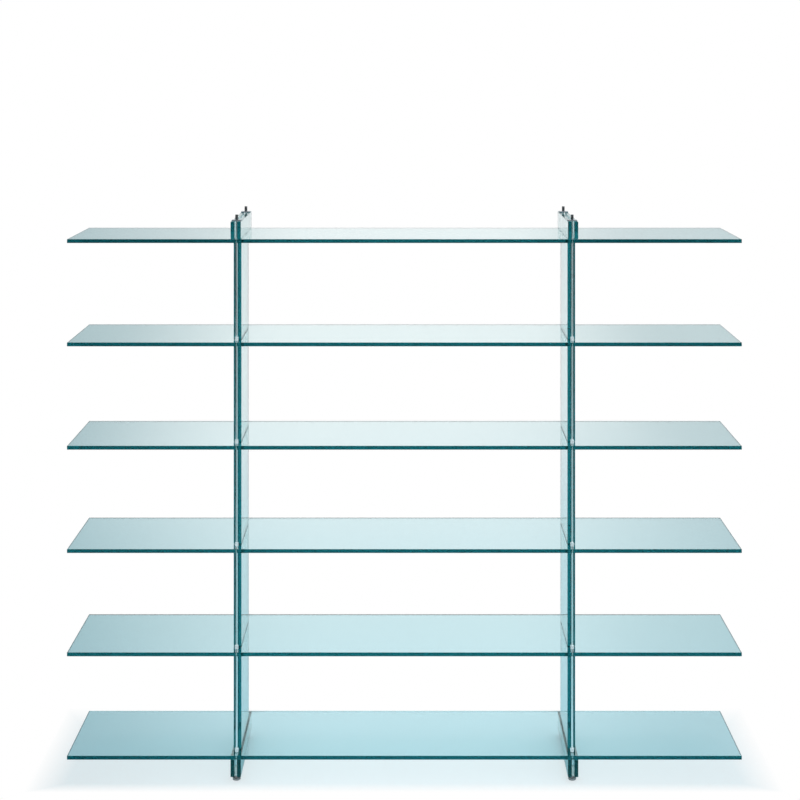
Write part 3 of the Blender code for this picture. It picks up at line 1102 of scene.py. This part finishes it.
def add_room(scene, studio):
    """A white room whose front is unlit where glass and steel mirror it."""
    world = bpy.data.worlds.new("studio_room")
    world.use_nodes = True
    scene.world = world
    graph = Graph(world.node_tree)
    x, y, z = graph.parts(graph.add("ShaderNodeTexCoord", None, (), "Generated"))
    mirrored = graph.mirrored()
    first_mirrored = mirrored * (1 - graph.crossed())
    straight = graph.light_path("Is Transmission Ray") * (1 - mirrored)
    plain = graph.light_path("Is Camera Ray").larger(graph.light_path("Is Diffuse Ray"))
    back = graph.ramp(y, *BACK_RANGE)
    above = graph.ramp(z, *ABOVE_RANGE, 0.0, ABOVE_LEVEL)
    below = graph.ramp(z, *BELOW_RANGE)
    low_front = graph.ramp(z, *LOW_FRONT_RANGE) * first_mirrored
    low_left = graph.smooth(x, *LOW_LEFT_RANGE) * below * first_mirrored
    lit = back.larger(above).larger(straight + low_front) * (1 - LOW_LEFT_DIMNESS * low_left)
    level = plain + (1 - plain) * graph.ramp(lit, 0.0, 1.0, UNLIT_LEVEL, 1.0)
    aside = graph.smooth(abs(x - SIDE_MIDDLE), *SIDE_RANGE)
    aside = aside * (1 - graph.smooth(abs(x), *SIDE_END_RANGE))
    aside = aside * (1 - RIGHT_RELIEF * graph.smooth(x, *RIGHT_RANGE))
    tone = graph.blend(below * straight, WHITE, THROUGH_TONE)
    tone = graph.blend(below * low_front, tone, MIRRORED_TONE)
    tone = graph.blend(aside * back * (1 - plain), tone, opaque(studio.side_tint))
    light = graph.add("ShaderNodeBackground", None, [tone, level])
    graph.add("ShaderNodeOutputWorld", None, {"Surface": light})


# Lamps and camera

class SoftBox(NamedTuple):
    """A broad lamp: its place, aim, size and power, and whether glass and steel mirror it."""

    place: tuple
    aim: tuple
    width: float
    depth: float
    power: float
    mirrored: bool = True


SOFT_BOXES = {
    "overhead": SoftBox((1.2, -0.4, 3.4), (0.0, 0.0, 0.8), 3.0, 2.0, 20.0),
    "window": SoftBox((3.6, -2.6, 2.2), (0.0, 0.0, 0.8), 1.6, 2.2, 10.0),
    "front": SoftBox((0.0, -4.5, 1.0), (0.0, 0.0, 0.6), 2.4, 0.8, 70.0, mirrored=False),
}
IMAGE_SIZE = 800
SENSOR_WIDTH = 36.0
# The scale at the shelves' front edges, and where the photograph shows its fixed points
METRES_PER_PIXEL = 2.1 / 675
MIDDLE_PIXEL = 404.4
VANISHING_PIXEL = 408.0
HORIZON_PIXEL = 62.0
LOWEST_SHELF_PIXEL = 755.9


def add_lamps():
    """Soft boxes above, in front, and in front to the right."""
    for name, box in SOFT_BOXES.items():
        lamp = bpy.data.lights.new(name, "AREA")
        lamp.shape = "RECTANGLE"
        lamp.size = box.width
        lamp.size_y = box.depth
        lamp.energy = box.power
        item = new_object(name, lamp)
        item.location = box.place
        way = Vector(box.aim) - Vector(box.place)
        item.rotation_euler = way.to_track_quat("-Z", "Y").to_euler()
        item.visible_transmission = False
        item.visible_glossy = box.mirrored


def add_camera(scene, studio):
    """A level camera whose lens is shifted down, as the photograph's is."""
    distance = studio.camera_distance
    lens = bpy.data.cameras.new("camera")
    lens.sensor_width = SENSOR_WIDTH
    lens.lens = distance / METRES_PER_PIXEL / IMAGE_SIZE * SENSOR_WIDTH
    lens.shift_x = (IMAGE_SIZE / 2 - VANISHING_PIXEL) / IMAGE_SIZE
    lens.shift_y = -(IMAGE_SIZE / 2 - HORIZON_PIXEL) / IMAGE_SIZE
    camera = new_object("camera", lens)
    shelf_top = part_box("shelf_1")[1].z
    camera.location = ((VANISHING_PIXEL - MIDDLE_PIXEL) * METRES_PER_PIXEL, LOW.y - distance,
                       shelf_top + (LOWEST_SHELF_PIXEL - HORIZON_PIXEL) * METRES_PER_PIXEL)
    camera.rotation_euler = (math.pi / 2, 0.0, 0.0)
    scene.camera = camera


def set_light_paths(scene):
    """Let light run far enough along the glass, and keep colours as they are."""
    scene.view_settings.view_transform = "Standard"
    cycles = scene.cycles
    cycles.max_bounces = 32
    cycles.transmission_bounces = 32
    cycles.glossy_bounces = 24
    cycles.diffuse_bounces = 4
    cycles.transparent_max_bounces = 32


# The add-on

STEPS = (BOOKCASE_OT_shelves, BOOKCASE_OT_panes, BOOKCASE_OT_rods, BOOKCASE_OT_caps,
         BOOKCASE_OT_feet, BOOKCASE_OT_studio)
SETTINGS = {
    "bookcase_glass": GlassSettings,
    "bookcase_rods": RodSettings,
    "bookcase_caps": CapSettings,
    "bookcase_feet": FootSettings,
    "bookcase_steel": SteelSettings,
    "bookcase_studio": StudioSettings,
}


class BOOKCASE_PT_panel(bpy.types.Panel):
    """The bookcase's settings and steps"""

    bl_idname = "BOOKCASE_PT_panel"
    bl_label = "Bookcase"
    bl_space_type = "VIEW_3D"
    bl_region_type = "UI"
    bl_category = "Bookcase"

    def draw(self, context):
        for group in SETTINGS:
            settings = getattr(context.scene, group)
            for name in settings.bl_rna.properties.keys():
                if name not in ("rna_type", "name"):
                    self.layout.prop(settings, name)
        for step in STEPS:
            self.layout.operator(step.bl_idname)


def register():
    """Add the settings, the steps and the panel to Blender."""
    for kind in (*SETTINGS.values(), *STEPS, BOOKCASE_PT_panel):
        bpy.utils.register_class(kind)
    for name, kind in SETTINGS.items():
        setattr(bpy.types.Scene, name, PointerProperty(type=kind))


def unregister():
    """Take them out again."""
    for name in SETTINGS:
        delattr(bpy.types.Scene, name)
    for kind in reversed((*SETTINGS.values(), *STEPS, BOOKCASE_PT_panel)):
        bpy.utils.unregister_class(kind)


def main():
    """Run every step in order."""
    register()
    for step in STEPS:
        group, name = step.bl_idname.split(".")
        getattr(getattr(bpy.ops, group), name)()


if __name__ == "__main__":
    main()
